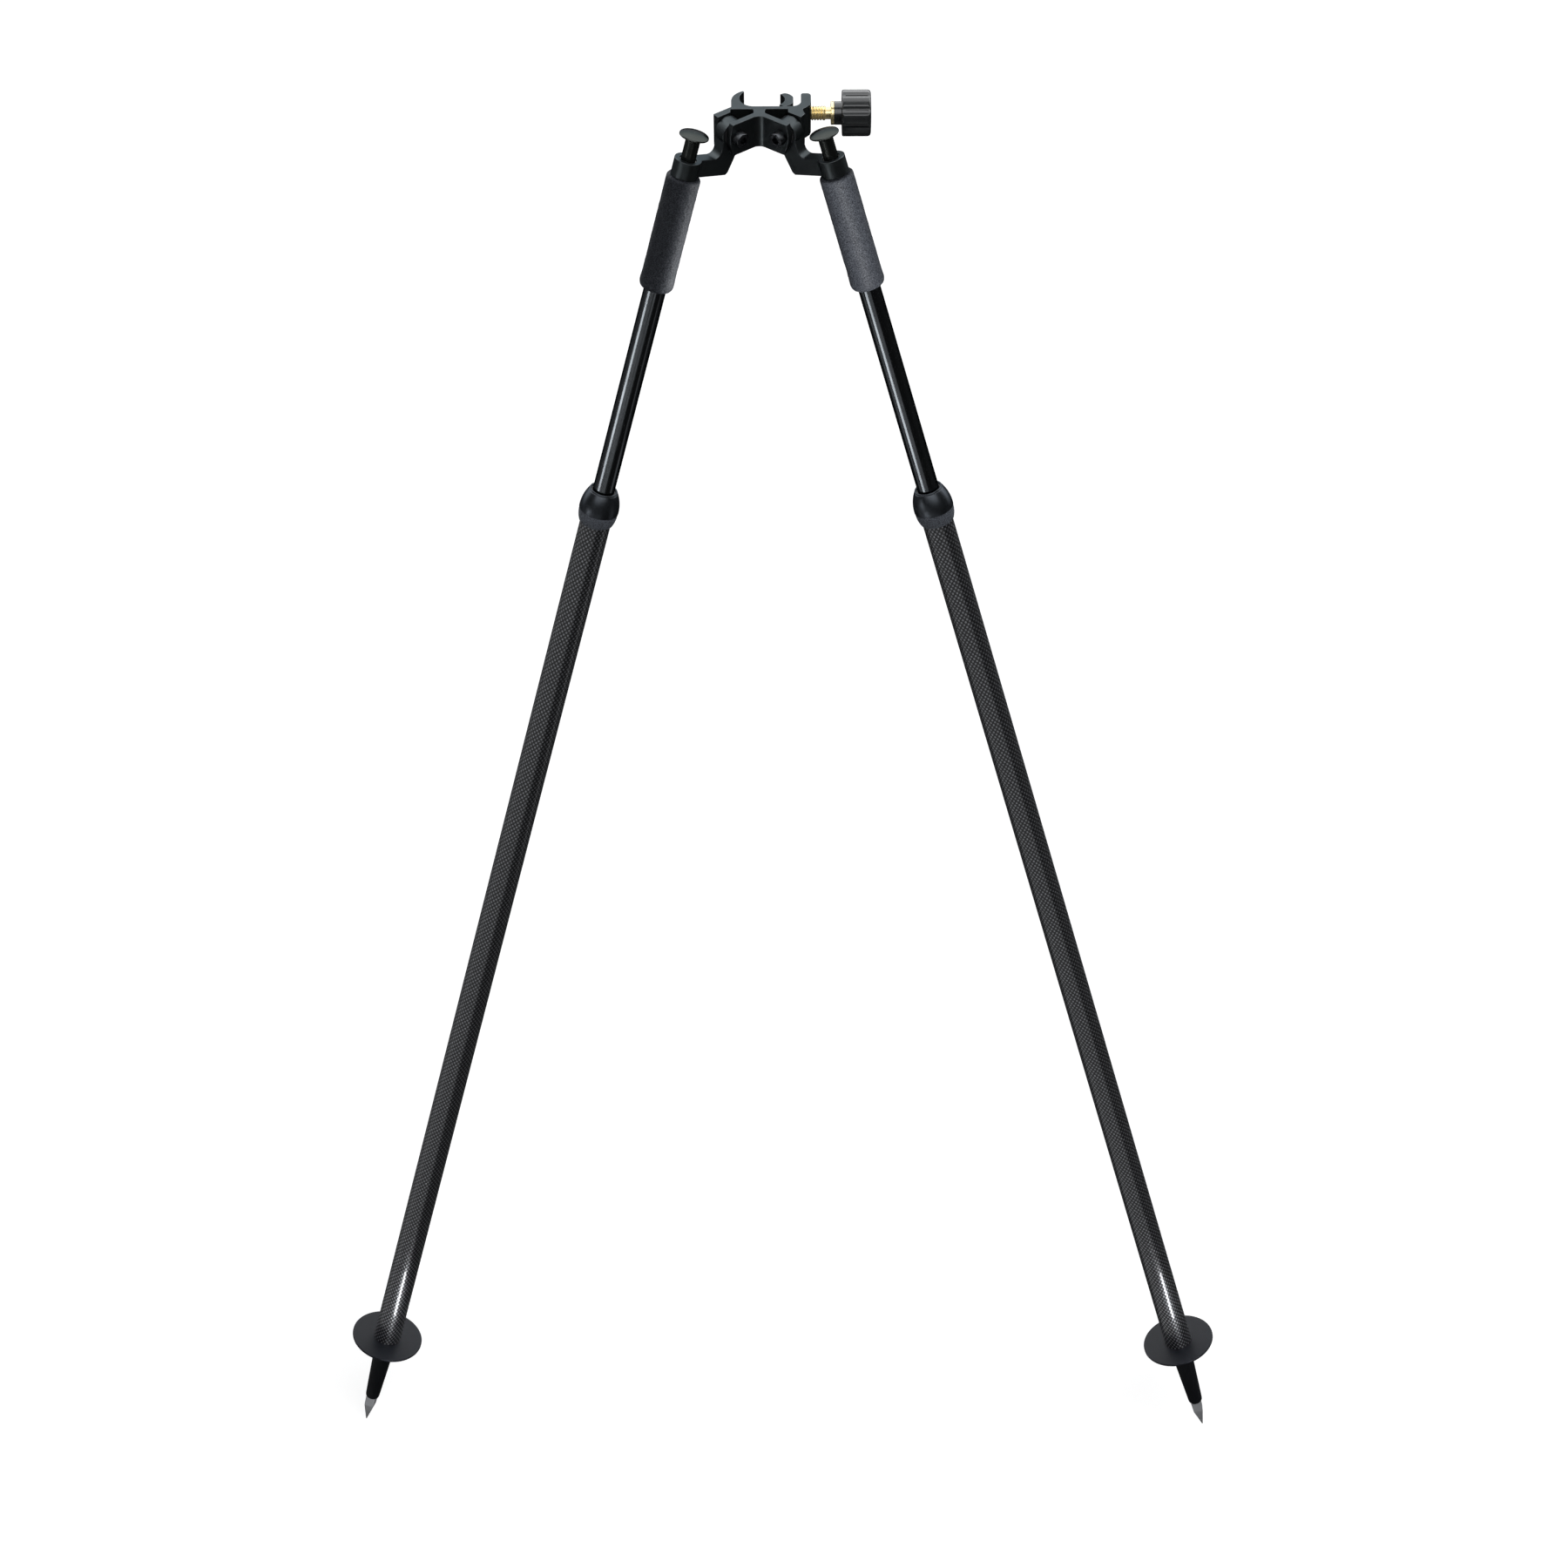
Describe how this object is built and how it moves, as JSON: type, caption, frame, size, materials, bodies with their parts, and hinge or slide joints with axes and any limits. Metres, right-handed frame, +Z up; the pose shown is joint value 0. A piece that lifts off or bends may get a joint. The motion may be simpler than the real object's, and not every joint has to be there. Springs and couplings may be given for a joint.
{
  "type": "surveying pole bipod",
  "caption": "Folding bipod that clamps to a round surveying pole: hinged telescopic legs with thumb release, foam grips, collars, foot discs and steel points.",
  "frame": {"origin": "axis of the clamped pole, at the clamp body's mid height", "axes": "+Z up the pole, +X towards the clamp knob, +Y to the rear, away from the legs' spread"},
  "size_m": [0.9231, 0.3884, 1.4882],
  "materials": {
    "head_black": "black anodised, satin",
    "bolt_steel": "dark steel, satin",
    "washer": "black nylon",
    "brass": "turned, bright",
    "knob": "black, satin",
    "knob_cap": "black, satin",
    "button_black": "black anodised, satin",
    "bush_bronze": "plain bronze",
    "bush_black": "black acetal",
    "foam": "closed-cell foam, speckled",
    "rod_black": "black anodised, glossy",
    "inner_steel": "plain steel",
    "inner_plastic": "natural acetal",
    "collar_black": "black anodised, polished",
    "band_grey": "textured dark grey",
    "seal": "black rubber",
    "carbon": "carbon-fibre weave under clear lacquer",
    "disc_black": "black, matte",
    "cone_black": "black, matte",
    "point_steel": "machined steel"
  },
  "bodies": {
    "head": {"clamp_body": "head_black", "pivot_bolt_left": "bolt_steel", "pivot_washer_front_left": "washer", "pivot_washer_rear_left": "washer", "pivot_bolt_right": "bolt_steel", "pivot_washer_front_right": "washer", "pivot_washer_rear_right": "washer"},
    "jaw": {"moving_jaw": "head_black", "jaw_pin": "bolt_steel"},
    "screw": {"clamp_screw": "brass", "clamp_knob": "knob", "knob_cap": "knob_cap"},
    "upper_leg_left": {"leg_bracket_left": "head_black", "pivot_bush_left": "bush_bronze", "button_bush_left": "bush_black", "grip_left": "foam", "inner_rod_left": "rod_black", "rod_plug_left": "inner_plastic", "release_spring_left": "inner_steel", "lock_mandrel_left": "inner_steel", "lock_collet_left": "inner_plastic"},
    "lower_leg_left": {"guide_collar_left": "collar_black", "collar_band_left": "band_grey", "collar_wiper_left": "seal", "collar_bush_left": "inner_plastic", "carbon_tube_left": "carbon", "foot_disc_left": "disc_black", "foot_cone_left": "cone_black", "steel_point_left": "point_steel"},
    "button_left": {"thumb_button_left": "button_black", "release_rod_left": "inner_steel", "lock_wedge_left": "inner_steel"},
    "upper_leg_right": {"leg_bracket_right": "head_black", "pivot_bush_right": "bush_bronze", "button_bush_right": "bush_black", "grip_right": "foam", "inner_rod_right": "rod_black", "rod_plug_right": "inner_plastic", "release_spring_right": "inner_steel", "lock_mandrel_right": "inner_steel", "lock_collet_right": "inner_plastic"},
    "lower_leg_right": {"guide_collar_right": "collar_black", "collar_band_right": "band_grey", "collar_wiper_right": "seal", "collar_bush_right": "inner_plastic", "carbon_tube_right": "carbon", "foot_disc_right": "disc_black", "foot_cone_right": "cone_black", "steel_point_right": "point_steel"},
    "button_right": {"thumb_button_right": "button_black", "release_rod_right": "inner_steel", "lock_wedge_right": "inner_steel"}
  },
  "joints": [
    {"name": "leg_swing_left", "type": "hinge", "parent": "head", "child": "upper_leg_left", "pos_m": [-0.0206, -0.0297, 0.002], "axis": [-0.5878, 0.809, 0], "range_deg": [-17.8, 32]},
    {"name": "leg_slide_left", "type": "slide", "parent": "upper_leg_left", "child": "lower_leg_left", "axis": [-0.2473, -0.1797, -0.9521], "range_m": [-0.2, 0.45]},
    {"name": "button_press_left", "type": "slide", "parent": "upper_leg_left", "child": "button_left", "axis": [-0.2473, -0.1797, -0.9521], "range_m": [0, 0.006], "stiffness_N_per_m": 900, "springref_m": -0.008, "deforming": ["release_spring_left"]},
    {"name": "leg_swing_right", "type": "hinge", "parent": "head", "child": "upper_leg_right", "pos_m": [0.0294, -0.0297, 0.002], "axis": [-0.5878, -0.809, 0], "range_deg": [-19.5, 32]},
    {"name": "leg_slide_right", "type": "slide", "parent": "upper_leg_right", "child": "lower_leg_right", "axis": [0.2701, -0.1962, -0.9426], "range_m": [-0.2, 0.45]},
    {"name": "button_press_right", "type": "slide", "parent": "upper_leg_right", "child": "button_right", "axis": [0.2701, -0.1962, -0.9426], "range_m": [0, 0.006], "stiffness_N_per_m": 900, "springref_m": -0.008, "deforming": ["release_spring_right"]},
    {"name": "jaw_slide", "type": "slide", "parent": "head", "child": "jaw", "axis": [1, 0, 0], "range_m": [-0.014, 0.006]},
    {"name": "knob_turn", "type": "hinge", "parent": "jaw", "child": "screw", "pos_m": [0.07, -0.0006, 0], "axis": [1, 0, 0], "range_deg": [-2101, 901]}
  ],
  "couplings": [
    {"joint": "knob_turn", "follows": "jaw_slide", "rad_per_m": 2618}
  ]
}
